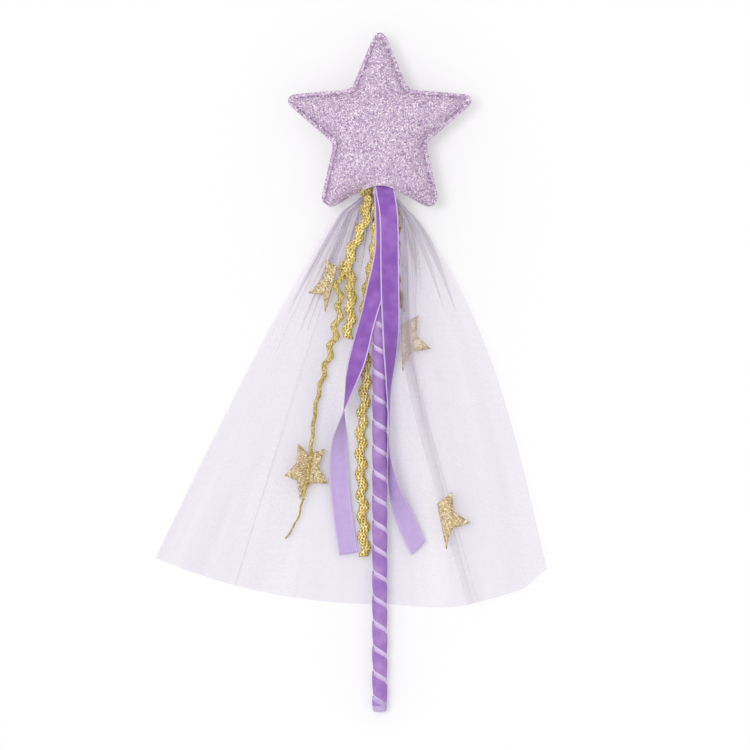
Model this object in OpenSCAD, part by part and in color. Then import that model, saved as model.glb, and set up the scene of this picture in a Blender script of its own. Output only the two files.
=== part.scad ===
// Toy magic wand: a padded star on a ribbon-wrapped stick, with a tulle skirt and streamers at its neck.
// It lies on its back. +X is to the right, +Y runs from the handle's end to the star's top tip, +Z is up.
// The origin is under the middle of the object, on the table.

/* [Star] */
// Distance from the star's centre to a tip
star_tip_r = 51; // [42:0.5:62]
// Distance from the star's centre to an inner corner
star_inner_r = 25.5; // [21:0.5:31]
// Distance from the star's centre to its mouth, where the stick goes in
star_mouth_r = 29.5; // [24:0.5:36]
// Radius that rounds each tip
star_tip_round = 3.5; // [2:0.5:5]
// Thickness of the padded star at its crown
star_thick = 26; // [20:1:32]
// Thickness of the glitter fabric
star_fabric_t = 0.8; // [0.5:0.1:1.2]
// Width of the flat raw edge outside the seam
star_edge_w = 2.6; // [1.5:0.1:4]
// Gap between the two fabrics at the edge, and round the filling
star_fabric_gap = 0.1; // [0.05:0.05:0.3]

/* [Stick] */
// Diameter of the wooden stick
stick_d = 6.4; // [5:0.1:8]
// Length of the handle from the star's mouth to its end
grip_len = 279.5; // [240:0.5:320]
// Depth of the stick inside the star
stick_in_star = 44; // [25:1:60]
// Place of the stick to the right of the skirt's middle
stick_x = 15.5; // [10:0.5:20]

/* [Handle wrap] */
// Width of the wound velvet ribbon
wrap_w = 10.4; // [8:0.1:10.8]
// Thickness of the wound velvet ribbon
wrap_t = 0.65; // [0.4:0.05:0.9]
// Distance along the stick from one turn to the next
wrap_pitch = 13.3; // [13:0.1:16]
// Length of the folded ribbon end over the stick's end
tuck_len = 6; // [4:0.5:9]
// Thickness of the folded ribbon end
tuck_t = 0.75; // [0.5:0.05:1]
// Rounding of the folded ribbon end
tuck_round = 0.6; // [0.3:0.1:0.7]

/* [Neck] */
// Length of the thread binding
binding_len = 5; // [3:0.5:6]
// Thickness of the thread binding
binding_t = 1.2; // [0.8:0.1:1.5]
// Distance from the star's mouth to the binding
binding_drop = 2; // [1.5:0.1:3]

/* [Tulle skirt] */
// Distance from the neck to the middle of the hem
skirt_r = 221; // [190:1:240]
// How much further the left corner of the hem is
skirt_left_extra = 9; // [0:1:15]
// Angle of the left corner from the stick
skirt_left_a = 31; // [26:0.5:34]
// Angle of the right corner from the stick
skirt_right_a = 23.5; // [20:0.5:28]
// Reach of the gathered top to the left of the stick
gather_left_w = 21.7; // [18:0.1:25]
// Reach of the gathered top to the right of the stick
gather_right_w = 15; // [13:0.1:18]
// Distance from the star's mouth to the end of the gathers
gather_drop = 14.5; // [13:0.5:17]
// Height of the skirt's top above the table
skirt_rise = 6; // [4:0.1:6.5]
// How far the right edge bows out
skirt_right_bow = 9; // [0:0.5:12]
// Thickness that stands for a layer of tulle
tulle_t = 0.7; // [0.5:0.05:0.8]
// Height of the folds
fold_h = 1.2; // [0.6:0.1:1.5]
// Depth of the small ruffles in the gathers
ruffle_h = 1.4; // [0.8:0.1:1.8]
// Room under the left upper layer
left_layer_gap = 0.55; // [0.5:0.05:0.8]
// Room under the right upper layer, where a ric-rac lies
right_layer_gap = 4.9; // [4.4:0.1:5.4]

/* [Streamers] */
// Width of the loose velvet ribbons
ribbon_w = 10; // [8:0.1:11]
// Thickness of the loose velvet ribbons
ribbon_t = 0.7; // [0.5:0.05:0.8]
// Width of the ric-rac braid over its waves
ricrac_w = 6.4; // [5:0.1:6.6]
// Thickness of the ric-rac braid
ricrac_t = 0.8; // [0.5:0.05:0.9]
// Distance from one wave of the ric-rac to the next
ricrac_pitch = 11; // [9:0.5:14]
// Height of the ric-rac's waves to each side
ricrac_wave = 1; // [0.6:0.1:1.4]
// Width of the narrow gold cord over its waves
cord_w = 3.4; // [2.6:0.1:4]
// Height of the narrow cord's waves to each side
cord_wave = 0.6; // [0.3:0.1:0.9]

/* [Star charms] */
// Distance from a charm's centre to a tip
charm_r = 16; // [14:0.5:17]
// Distance from a charm's centre to an inner corner
charm_inner_r = 8.2; // [7:0.1:9]
// Thickness of the glitter sheet
charm_t = 0.9; // [0.6:0.1:1]

/* [Hidden] */
$fn = 48;

// Running gap between wound or pushed-on pieces and the stick
fit_gap = 0.06;
// Gap between the ends of pieces that follow one another
end_gap = 0.5;
// Overrun of every cut
cut_over = 1;

// The star and the stick
star_points = 5;
arm_a = 360 / star_points;
arc_steps = 4;
wand_len = grip_len + star_mouth_r + star_tip_r;
mouth_y = grip_len - wand_len / 2;
star_y = mouth_y + star_mouth_r;
seam_z = star_thick / 2;
stick_r = stick_d / 2;
tuck_r = stick_r + fit_gap + tuck_t;
lie_a = asin((seam_z - tuck_r) / grip_len);
// Half of the angle at a tip, and the reach of the tip's arc to each side
tip_half_a = atan2(star_inner_r * sin(arm_a / 2), star_tip_r - star_inner_r * cos(arm_a / 2));
arc_half_a = 90 - tip_half_a;
// Distance from the star's centre to the line of an edge
star_edge_r = star_tip_r * sin(tip_half_a);
seam_share = 1 - star_edge_w / star_edge_r;
tunnel_r = stick_r + fit_gap + wrap_t + star_fabric_t + end_gap;
// Shares of the way along an edge, from a tip's arc to the inner corner
edge_shares = [0.35, 0.7, 0.9];
// Rings of the star's panels, as shares of its outline
panel_ring_shares = [0.25, 0.5, 0.7, 0.83, seam_share, 1];
// Gap between the filling and the panels
filling_gap = 0.3;
// The filling's rim, as a share of the way from the last crown ring to the seam
rim_share = 0.5;

// The wrap on the handle
wrap_start = binding_drop + binding_len + end_gap;
wrap_end = grip_len - tuck_len - end_gap;
wrap_steps = 12;
wrap_mid_r = stick_r + fit_gap + wrap_t / 2;
wrap_slope_a = atan2(wrap_pitch, 2 * PI * wrap_mid_r);
wrap_axial_w = wrap_w / cos(wrap_slope_a);
wrap_in_r = (stick_r + fit_gap) / cos(180 / wrap_steps);
wrap_turns = (wrap_end - wrap_start - wrap_axial_w) / wrap_pitch;

// The skirt
neck = [stick_x, mouth_y];
skirt_span_a = skirt_left_a + skirt_right_a;
stick_share = skirt_left_a / skirt_span_a;
fold_count = 7;
back_cols = 35;
panel_rows = 8;
left_cols = 14;
right_cols = 10;
left_panel_share = 0.36;
// The right panel's inner edge at its top and at its hem, and how far it bows in between
right_top_share = 0.88;
right_hem_share = 0.78;
right_bow_share = 0.12;
right_bow_power_share = 0.6;
// How often the share across is multiplied by itself, so that the right edge's bow fades inwards
bow_fade_count = 6;
// The upper layers start this share of the skirt's length below the gathers
upper_start_share = 0.012;
ruffle_count = 9;
gather_cols = 36;
gather_rows = 4;
// The gathers hug the underside of the binding between these angles
gather_from_a = 215;
gather_to_a = 325;

// Routes of the streamers to their free ends: place from the neck, height over the table, and bank.
// A bank of 0 lies flat, 90 stands on its edge, and 180 shows the reverse.
ricrac_steps = 6;
ribbon_steps = 3;
ricrac_centre_route = [[-0.6, -4.5, 18, 0], [-1.1, -17.5, 17.6, 4], [-2.1, -29.5, 16.8, 14],
    [-4.1, -41.5, 14.9, 30], [-6.5, -53.5, 11.9, 36], [-7.9, -65.5, 8.8, 26], [-7.9, -77.5, 6.2, 12],
    [-7.6, -89.5, 4.7, 2], [-7.5, -101.5, 4, 0], [-8.1, -113.5, 3.6, 0], [-9.4, -125.5, 3.3, 0],
    [-9.9, -137.5, 3.1, 0], [-9.8, -149.5, 2.9, 0], [-9.5, -161.5, 2.8, 0], [-9, -173.5, 2.7, 0],
    [-8.5, -185.5, 2.7, 0], [-7.9, -197, 2.7, 0]];
velvet_ribbon_left_route = [[2, -5.5, 19.3, 0], [2.5, -19.5, 19.1, 0], [2.3, -33.5, 18.8, 2],
    [0.7, -43.5, 17.8, 6], [-1.5, -52.5, 16.7, 10], [-3.6, -61, 14.8, 22], [-5.6, -68.5, 13, 30],
    [-7.8, -76.5, 11.2, 30], [-9.8, -84.5, 9.8, 24], [-11.9, -92.5, 9, 24], [-14.4, -101.5, 9, 44],
    [-16.4, -109.5, 9.6, 66], [-18.5, -117.5, 9.7, 84], [-20.2, -125.5, 9.2, 108],
    [-21.4, -135.5, 7.4, 140], [-21.8, -147.5, 5.2, 164], [-21.2, -159.5, 3.8, 176],
    [-20, -171.5, 3.1, 180], [-18.3, -183.5, 2.9, 180], [-16.6, -195.5, 2.9, 180]];
velvet_ribbon_right_route = [[3.2, -5.5, 20.6, 0], [4.6, -14.5, 20.5, 0], [5.1, -24.5, 20.4, 0],
    [5.2, -35.5, 20.1, 0], [5.3, -47.5, 19.2, -4], [5.5, -59.5, 17.8, -10], [5.8, -71.5, 14.6, -22],
    [5.8, -83.5, 12.3, -36], [5.4, -95.5, 10.6, -58], [4.9, -107.5, 9.4, -76],
    [4.9, -119.5, 8.6, -86], [5, -131.5, 8.2, -90], [5.4, -142.5, 7.8, -95],
    [6.4, -152.5, 7.4, -110], [8.7, -163.5, 6.3, -130], [12.9, -175.5, 4.3, -160],
    [17.5, -186.5, 3.3, -178], [21.1, -194, 3, -180]];
gold_cord_route = [[-8.5, -5.5, 13.2, 35], [-8.3, -14.5, 11.7, 20], [-10.3, -23, 10.2, 10],
    [-12.6, -29.5, 9.4, 0], [-15.2, -35.5, 8.7, 0], [-18.1, -42.5, 8.1, 0], [-21.3, -49.5, 7.7, 0],
    [-22.1, -56.5, 7.2, 0], [-21.1, -63, 6.8, 0], [-22, -69.5, 6.4, 0], [-23.4, -76.5, 6, 0],
    [-25, -83.5, 5.7, 0], [-27.2, -91.5, 5.4, 0], [-29.6, -99.5, 5.2, 0], [-31.6, -107.5, 5.1, 0],
    [-33.5, -115.5, 5.1, 0], [-34.8, -124.5, 5.4, 0], [-35.9, -134.5, 6, 0], [-36.9, -144.5, 6.3, 0],
    [-38.2, -154.5, 6.3, 0], [-40, -163.5, 6.2, 0], [-42.3, -173.5, 5, 0], [-45.5, -181, 4.1, 0],
    [-50, -187.5, 4, 0]];
ricrac_left_route = [[-7.2, -5.5, 15.6, 35], [-6.8, -14.5, 13.8, 20], [-9.3, -23, 12.3, 10],
    [-12.3, -29.5, 11.1, 0], [-15.1, -36, 10.3, 0], [-16.6, -42.5, 9.7, 0], [-15.9, -49, 8.8, 0],
    [-15.1, -55.5, 7.7, 0], [-15.5, -62, 7, 0], [-15.5, -68.5, 6.5, 0], [-16.3, -75, 6.2, 0],
    [-17.3, -81.5, 6, 0]];
ricrac_right_route = [[5.4, -4.5, 13, -85], [8.6, -10.5, 12, -50], [10, -17.5, 10, -15],
    [9.8, -26.5, 8.7, 0], [9.2, -36.5, 8, 0], [9.4, -46.5, 7.5, 0], [10.8, -57.5, 6.9, 0],
    [12.8, -67.5, 6.5, 0]];

// Gap between a charm and the tulle under it
seat_gap = 0.4;
// Places of the charms from the neck, and the turn of the tip that the crease runs to
upper_left_place = [-25.1, -51.9, 7.8];
upper_left_turn = 165;
lower_left_place = [-39.4, -151, 3.9];
lower_left_turn = 169.5;
upper_right_place = [12.3, -82.5, 4.5];
upper_right_turn = -178;
// The right charm is folded over the right panel's edge, at this share of the skirt's length
right_charm_share = 0.8;
right_edge_at = skirt_at(right_edge_share(right_charm_share), right_charm_share, 0);
right_place = [right_edge_at[0] - stick_x - charm_t - seat_gap, right_edge_at[1] - mouth_y,
    fold_h + tulle_t + seat_gap];
right_turn = -168.7;
crease_a = 2;
// Room between the two halves of a charm that is folded flat, and of the one folded over the right panel
flat_fold_room = 0.1;
right_fold_room = tulle_t + right_layer_gap - charm_t;
// Width of the creased charm as it lies, as a share of its flat width
creased_w_share = 0.78;
// Share of the charm's tip that the fold runs along
fold_share = 0.8;
// Share of a route's step over which its direction is taken
step_share = 0.05;

// Shared functions and solids
function lerp(a, b, t) = a + (b - a) * t;
function unit(v) = v / norm(v);
function place(v) = [v[0], v[1], v[2]];
function quad(a, b, c, d) = [[a, b, c], [a, c, d]];

// A point of the smooth curve through a route's points
function route_at(p, s) =
    let (n = len(p), i = max(0, min(floor(s), n - 2)), t = s - i)
    let (a = p[max(i - 1, 0)], b = p[i], c = p[i + 1], d = p[min(i + 2, n - 1)])
    (2 * b + (c - a) * t + (2 * a - 5 * b + 4 * c - d) * t * t + (3 * b - a - 3 * c + d) * t * t * t) / 2;

// Place, width direction and face direction of a banked braid on its route
function route_frame(p, s) =
    let (before = route_at(p, max(s - step_share, 0)), after = route_at(p, min(s + step_share, len(p) - 1)))
    let (dir = unit(place(after) - place(before)), side = unit(cross([0, 0, 1], dir)), up = cross(dir, side))
    let (here = route_at(p, s), bank = here[3])
    [place(here), side * cos(bank) + up * sin(bank), up * cos(bank) - side * sin(bank)];

function route_len(p) =
    [for (i = 1, sum = norm(place(p[1]) - place(p[0])); i < len(p);
        i = i + 1, sum = i < len(p) ? sum + norm(place(p[i]) - place(p[i - 1])) : sum) sum][len(p) - 2];

// One face of a strip along a route: rows of its two edges
function strip_face(p, rings, half, wave, waves, lift) = [for (k = [0 : rings])
    let (f = route_frame(p, (len(p) - 1) * k / rings), shift = wave * sin(360 * waves * k / rings))
    [for (e = [-1, 1]) f[0] + f[1] * (shift + e * half) + f[2] * lift]];

// A closed solid between two grids of points, its upper and its lower face
module slab(top, bottom) {
    m = len(top);
    n = len(top[0]);
    u = m * n;
    o = u - n;
    polyhedron(points = concat([for (r = top) each r], [for (r = bottom) each r]), faces = concat(
        [for (i = [0 : m - 2], j = [0 : n - 2]) let (a = i * n + j) each quad(a, a + 1, a + n + 1, a + n)],
        [for (i = [0 : m - 2], j = [0 : n - 2])
            let (a = u + i * n + j) each quad(a + n, a + n + 1, a + 1, a)],
        [for (j = [0 : n - 2]) each quad(j + 1, j, u + j, u + j + 1)],
        [for (j = [0 : n - 2]) each quad(o + j, o + j + 1, u + o + j + 1, u + o + j)],
        [for (i = [0 : m - 2]) let (a = i * n) each quad(a, a + n, u + a + n, u + a)],
        [for (i = [0 : m - 2]) let (a = i * n + n - 1) each quad(a + n, a, u + a, u + a + n)]));
}

// A closed solid through rings of points, from a first point to a last one
module skin(first, rings, last) {
    m = len(rings);
    n = len(rings[0]);
    top = 1 + (m - 1) * n;
    polyhedron(points = concat([first], [for (r = rings) each r], [last]), faces = concat(
        [for (j = [0 : n - 1]) [0, 1 + j, 1 + (j + 1) % n]],
        [for (i = [0 : m - 2], j = [0 : n - 1]) let (a = 1 + i * n + j, b = 1 + i * n + (j + 1) % n)
            each quad(a, a + n, b + n, b)],
        [for (j = [0 : n - 1]) [1 + m * n, top + (j + 1) % n, top + j]]));
}

module ribbon(route) {
    rings = ribbon_steps * (len(route) - 1);
    slab(strip_face(route, rings, ribbon_w / 2, 0, 0, ribbon_t / 2),
        strip_face(route, rings, ribbon_w / 2, 0, 0, -ribbon_t / 2));
}

module ricrac(route, w, wave) {
    waves = round(route_len(route) / ricrac_pitch);
    half = w / 2 - wave;
    slab(strip_face(route, waves * ricrac_steps, half, wave, waves, ricrac_t / 2),
        strip_face(route, waves * ricrac_steps, half, wave, waves, -ricrac_t / 2));
}

// Places a piece that is made along the stick: z runs from the star's mouth towards the handle's end
module along_stick() {
    translate([stick_x, mouth_y, seam_z]) rotate([90 + lie_a, 0, 0]) children();
}

// Handle
module stick() {
    color("burlywood") along_stick() translate([0, 0, -stick_in_star])
        cylinder(h = stick_in_star + grip_len - tuck_t - fit_gap, r = stick_r);
}

function wrap_face(r) = [for (k = [0 : floor(wrap_turns * wrap_steps)])
    let (a = -360 * k / wrap_steps, z = wrap_start + wrap_axial_w / 2 + wrap_pitch * k / wrap_steps)
    [for (e = [1, -1]) [r * cos(a), r * sin(a), z + e * wrap_axial_w / 2]]];

module handle_wrap() {
    outer = wrap_face(wrap_in_r + wrap_t);
    inner = wrap_face(wrap_in_r);
    color("mediumpurple") along_stick() slab(outer, inner);
    echo(wrap_least_gap = min([for (i = [0 : wrap_steps], j = [wrap_steps : 2 * wrap_steps])
        norm(inner[i][0] - inner[j][1])]));
}

module wrap_end_tuck() {
    color("plum") along_stick() translate([0, 0, grip_len - tuck_len]) rotate_extrude() difference() {
        union() {
            square([tuck_r - tuck_round, tuck_len]);
            square([tuck_r, tuck_len - tuck_round]);
            translate([tuck_r - tuck_round, tuck_len - tuck_round]) circle(tuck_round);
        }
        translate([0, -cut_over]) square([stick_r + fit_gap, tuck_len - tuck_t + cut_over]);
    }
}

module neck_binding() {
    color("thistle") along_stick() translate([0, 0, binding_drop]) difference() {
        cylinder(h = binding_len, r = stick_r + binding_t);
        translate([0, 0, -cut_over]) cylinder(h = binding_len + 2 * cut_over, r = stick_r + fit_gap);
    }
}

// Star
function turn_dir(a) = [cos(a), sin(a)];
function tip_arc(i) = let (a = 90 + arm_a * i) [for (k = [0 : arc_steps])
    (star_tip_r - star_tip_round) * turn_dir(a)
    + star_tip_round * turn_dir(a + arc_half_a * (2 * k / arc_steps - 1))];
function inner_corner(i) = let (a = 90 + arm_a * (i + 1 / 2))
    (a == 270 ? star_mouth_r : star_inner_r) * turn_dir(a);
star_outline = [for (i = [0 : star_points - 1])
    let (arc = tip_arc(i), corner = inner_corner(i), next = tip_arc(i + 1)[0])
    each concat(arc, [for (s = edge_shares) lerp(arc[arc_steps], corner, s)], [corner],
        [for (k = [len(edge_shares) - 1 : -1 : 0]) lerp(next, corner, edge_shares[k])])];

// Height of the panels' inner face over the seam: the crown, and the tunnel that the stick goes in by
function crown(share) = star_fabric_gap / 2 + (seam_z - star_fabric_t - star_fabric_gap / 2)
    * sqrt(max(0, 1 - pow(share / seam_share, 2)));
function tunnel(p) = p[1] < 0 ? sqrt(max(0, pow(tunnel_r, 2) - pow(p[0], 2))) : 0;
function panel_ring(share, lift) = [for (p = star_outline)
    [p[0] * share, p[1] * share, lift + max(crown(share), tunnel(p * share))]];

module star_panel() {
    last = len(panel_ring_shares) - 1;
    skin([0, 0, crown(0)], concat([for (s = panel_ring_shares) panel_ring(s, 0)],
        [for (k = [last : -1 : 0]) panel_ring(panel_ring_shares[k], star_fabric_t)]),
        [0, 0, crown(0) + star_fabric_t]);
}

module star_front_panel() {
    color("plum") translate([stick_x, star_y, seam_z]) star_panel();
}

module star_back_panel() {
    color("thistle") translate([stick_x, star_y, seam_z]) mirror([0, 0, 1]) star_panel();
}

// The filling follows the panels' rings inside the seam, with a socket for the stick
function filling_ring(share, h) = [for (p = star_outline) [p[0] * share, p[1] * share, h]];

module star_filling() {
    count = len(panel_ring_shares) - 2;
    rings = [for (k = [0 : count - 1]) [panel_ring_shares[k], crown(panel_ring_shares[k]) - filling_gap]];
    rim = [lerp(panel_ring_shares[count - 1], seam_share, rim_share),
        lerp(crown(panel_ring_shares[count - 1]), crown(seam_share), rim_share) - filling_gap];
    steps = concat(rings, [rim]);
    color("whitesmoke") difference() {
        translate([stick_x, star_y, seam_z])
            skin([0, 0, filling_gap - crown(0)],
                concat([for (k = [0 : count]) filling_ring(steps[k][0], -steps[k][1])],
                    [for (k = [count : -1 : 0]) filling_ring(steps[k][0], steps[k][1])]),
                [0, 0, crown(0) - filling_gap]);
        along_stick() translate([0, 0, -stick_in_star - fit_gap])
            cylinder(h = stick_in_star + cut_over, r = stick_r + fit_gap);
    }
}

// Skirt: u runs from its left edge to its right edge, v from the gathers to the hem
function skirt_top(u) = [stick_x + lerp(-gather_left_w, gather_right_w, u), mouth_y - gather_drop];
function skirt_hem(u) =
    let (a = skirt_span_a * u - skirt_left_a)
    let (r = skirt_r + skirt_left_extra * pow(max(0, 1 - u / stick_share), 2))
    neck + r * [sin(a), -cos(a)];
function skirt_fold(u) = fold_h * (1 - cos(360 * fold_count * (u - stick_share))) / 2;
function skirt_at(u, v, lift) =
    let (p = lerp(skirt_top(u), skirt_hem(u), v))
    let (bow = skirt_right_bow * pow(u, bow_fade_count) * sin(180 * v))
    [p[0] + bow, p[1], skirt_rise * pow(1 - v, 3) + skirt_fold(u) + lift];
function right_edge_share(v) = lerp(right_top_share, right_hem_share, v)
    - right_bow_share * sin(180 * pow(v, right_bow_power_share));

// One face of a panel between two edges, which are given as shares of the skirt's width at its rows
function panel_face(from, to, start, cols, lift) = [for (i = [0 : panel_rows])
    let (v = lerp(start, 1, i / panel_rows))
    [for (j = [0 : cols]) skirt_at(lerp(from[i], to[i], j / cols), v, lift)]];

module tulle_panel(from, to, start, cols, lift) {
    slab(panel_face(from, to, start, cols, lift + tulle_t), panel_face(from, to, start, cols, lift));
}

function panel_edge(share) = [for (i = [0 : panel_rows]) share];

module tulle_back_panel() {
    color("lavender") tulle_panel(panel_edge(0), panel_edge(1), 0, back_cols, 0);
}

module tulle_left_panel() {
    color("lavender") tulle_panel(panel_edge(0), panel_edge(left_panel_share), upper_start_share, left_cols,
        tulle_t + left_layer_gap);
}

module tulle_right_panel() {
    inner = [for (i = [0 : panel_rows]) right_edge_share(lerp(upper_start_share, 1, i / panel_rows))];
    color("lavender") tulle_panel(inner, panel_edge(1), upper_start_share, right_cols,
        tulle_t + right_layer_gap);
}

// The gathers run from the underside of the binding to the top of the back panel
gather_y = mouth_y - binding_drop - binding_len / 2;
gather_z = seam_z - (mouth_y - gather_y) * tan(lie_a);
gather_r = stick_r + binding_t + end_gap;
function gather_at(u, v, lift) =
    let (a = lerp(gather_from_a, gather_to_a, u), ruffle = ruffle_h * (1 - cos(360 * ruffle_count * u)) / 2)
    let (bound = [stick_x + gather_r * cos(a), gather_y, gather_z + gather_r * sin(a) - ruffle])
    lerp(bound, skirt_at(u, 0, tulle_t) + [0, end_gap, 0], v) + [0, 0, lift];
function gather_face(lift) = [for (i = [0 : gather_rows])
    [for (j = [0 : gather_cols]) gather_at(j / gather_cols, i / gather_rows, lift)]];

module tulle_gather() {
    color("lavender") slab(gather_face(0), gather_face(-tulle_t));
}

// Streamers
module at_neck() {
    translate([stick_x, mouth_y, 0]) children();
}

module ricrac_centre() {
    color("goldenrod") at_neck() ricrac(ricrac_centre_route, ricrac_w, ricrac_wave);
}

module ricrac_left() {
    color("goldenrod") at_neck() ricrac(ricrac_left_route, ricrac_w, ricrac_wave);
}

module ricrac_right() {
    color("goldenrod") at_neck() ricrac(ricrac_right_route, cord_w, cord_wave);
}

module gold_cord() {
    color("goldenrod") at_neck() ricrac(gold_cord_route, cord_w, cord_wave);
}

module velvet_ribbon_left() {
    color("mediumpurple") at_neck() ribbon(velvet_ribbon_left_route);
}

module velvet_ribbon_right() {
    color("mediumpurple") at_neck() ribbon(velvet_ribbon_right_route);
}

// Star charms, creased along the line from one tip to the opposite inner corner
charm_outline = [for (i = [0 : 2 * star_points - 1])
    (i % 2 == 0 ? charm_r : charm_inner_r) * turn_dir(90 + arm_a / 2 * i)];

module half_charm(side) {
    linear_extrude(charm_t) intersection() {
        polygon(charm_outline);
        translate([side > 0 ? -charm_t : -charm_r, -charm_r]) square([charm_r + charm_t, 2 * charm_r]);
    }
}

module creased_charm(at, turn) {
    translate(at) rotate([0, 0, turn]) translate([0, 0, charm_r * sin(crease_a)])
        for (side = [-1, 1]) rotate([0, side * crease_a, 0])
            scale([creased_w_share, 1, 1]) half_charm(side);
}

// A charm that is folded in half along its crease; side says which half is kept
module folded_charm(at, turn, side, room) {
    translate(at) rotate([0, 0, turn]) {
        for (z = [0, charm_t + room]) translate([0, 0, z]) half_charm(side);
        translate([side > 0 ? -charm_t : 0, -charm_inner_r, 0])
            cube([charm_t, charm_inner_r + charm_r * fold_share, 2 * charm_t + room]);
    }
}

module star_charm_upper_left() {
    color("darkgoldenrod") at_neck() folded_charm(upper_left_place, upper_left_turn, 1, flat_fold_room);
}

module star_charm_lower_left() {
    color("darkgoldenrod") at_neck() creased_charm(lower_left_place, lower_left_turn);
}

module star_charm_upper_right() {
    color("darkgoldenrod") at_neck() folded_charm(upper_right_place, upper_right_turn, -1, flat_fold_room);
}

module star_charm_right() {
    color("darkgoldenrod") at_neck() folded_charm(right_place, right_turn, -1, right_fold_room);
}

stick();
handle_wrap();
wrap_end_tuck();
neck_binding();
star_front_panel();
star_back_panel();
star_filling();
tulle_gather();
tulle_back_panel();
tulle_left_panel();
tulle_right_panel();
ricrac_centre();
velvet_ribbon_left();
velvet_ribbon_right();
ricrac_left();
gold_cord();
star_charm_upper_left();
star_charm_lower_left();
ricrac_right();
star_charm_upper_right();
star_charm_right();
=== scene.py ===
import math
import random

import bmesh
import bpy
from mathutils import Matrix, Vector, noise


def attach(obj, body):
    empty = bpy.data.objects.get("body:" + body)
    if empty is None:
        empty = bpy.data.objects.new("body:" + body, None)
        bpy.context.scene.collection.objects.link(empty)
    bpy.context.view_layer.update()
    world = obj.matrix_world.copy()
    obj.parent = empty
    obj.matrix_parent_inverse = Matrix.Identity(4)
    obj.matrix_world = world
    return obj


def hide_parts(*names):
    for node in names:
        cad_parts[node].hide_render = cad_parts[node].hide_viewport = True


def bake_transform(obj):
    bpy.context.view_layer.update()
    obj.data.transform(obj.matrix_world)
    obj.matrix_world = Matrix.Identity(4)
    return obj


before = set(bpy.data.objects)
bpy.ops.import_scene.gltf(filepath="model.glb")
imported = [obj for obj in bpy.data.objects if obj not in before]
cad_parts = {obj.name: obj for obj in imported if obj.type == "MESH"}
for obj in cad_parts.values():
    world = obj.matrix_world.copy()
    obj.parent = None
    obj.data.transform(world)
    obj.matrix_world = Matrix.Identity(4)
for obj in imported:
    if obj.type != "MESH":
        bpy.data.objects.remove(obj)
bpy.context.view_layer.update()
scene = bpy.context.scene

# Sizes of the wand, in metres and degrees, as in the part's source
STICK_X = 0.0155
MOUTH_Y = 0.0995
STAR_Y = 0.129
SEAM_Z = 0.013
LIE_ANGLE = math.radians(1.843)
STICK_R = 0.0032
RIBBON_W = 0.010
RICRAC_W = 0.0064
CORD_W = 0.0034
CHARM_R = 0.016
CHARM_INNER_R = 0.0082
# Points closer than this are one
SAME_POINT = 1e-6


def in_metres(points):
    return [(x / 1000, y / 1000, z / 1000, bank) for x, y, z, bank in points]


# Routes of the streamers from the neck: place in millimetres and bank in degrees
RICRAC_CENTRE_ROUTE = in_metres([
    (14.9, 95, 18, 0), (14.4, 82, 17.6, 4), (13.4, 70, 16.8, 14), (11.4, 58, 14.9, 30), (9, 46, 11.9, 36),
    (7.6, 34, 8.8, 26), (7.6, 22, 6.2, 12), (7.9, 10, 4.7, 2), (8, -2, 4, 0), (7.4, -14, 3.6, 0),
    (6.1, -26, 3.3, 0), (5.6, -38, 3.1, 0), (5.7, -50, 2.9, 0), (6, -62, 2.8, 0), (6.5, -74, 2.7, 0),
    (7, -86, 2.7, 0), (7.6, -97.5, 2.7, 0),
])
VELVET_RIBBON_LEFT_ROUTE = in_metres([
    (17.5, 94, 19.3, 0), (18, 80, 19.1, 0), (17.8, 66, 18.8, 2), (16.2, 56, 17.8, 6), (14, 47, 16.7, 10),
    (11.9, 38.5, 14.8, 22), (9.9, 31, 13, 30), (7.7, 23, 11.2, 30), (5.7, 15, 9.8, 24), (3.6, 7, 9, 24),
    (1.1, -2, 9, 44), (-0.9, -10, 9.6, 66), (-3, -18, 9.7, 84), (-4.7, -26, 9.2, 108), (-5.9, -36, 7.4, 140),
    (-6.3, -48, 5.2, 164), (-5.7, -60, 3.8, 176), (-4.5, -72, 3.1, 180), (-2.8, -84, 2.9, 180),
    (-1.1, -96, 2.9, 180),
])
VELVET_RIBBON_RIGHT_ROUTE = in_metres([
    (18.7, 94, 20.6, 0), (20.1, 85, 20.5, 0), (20.6, 75, 20.4, 0), (20.7, 64, 20.1, 0), (20.8, 52, 19.2, -4),
    (21, 40, 17.8, -10), (21.3, 28, 14.6, -22), (21.3, 16, 12.3, -36), (20.9, 4, 10.6, -58), (20.4, -8, 9.4, -76),
    (20.4, -20, 8.6, -86), (20.5, -32, 8.2, -90), (20.9, -43, 7.8, -95), (21.9, -53, 7.4, -110),
    (24.2, -64, 6.3, -130), (28.4, -76, 4.3, -160), (33, -87, 3.3, -178), (36.6, -94.5, 3, -180),
])
GOLD_CORD_ROUTE = in_metres([
    (7, 94, 13.2, 35), (7.2, 85, 11.7, 20), (5.2, 76.5, 10.2, 10), (2.9, 70, 9.4, 0), (0.3, 64, 8.7, 0),
    (-2.6, 57, 8.1, 0), (-5.8, 50, 7.7, 0), (-6.6, 43, 7.2, 0), (-5.6, 36.5, 6.8, 0), (-6.5, 30, 6.4, 0),
    (-7.9, 23, 6, 0), (-9.5, 16, 5.7, 0), (-11.7, 8, 5.4, 0), (-14.1, 0, 5.2, 0), (-16.1, -8, 5.1, 0),
    (-18, -16, 5.1, 0), (-19.3, -25, 5.4, 0), (-20.4, -35, 6, 0), (-21.4, -45, 6.3, 0), (-22.7, -55, 6.3, 0),
    (-24.5, -64, 6.2, 0), (-26.8, -74, 5, 0), (-30, -81.5, 4.1, 0), (-34.5, -88, 4, 0),
])
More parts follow.
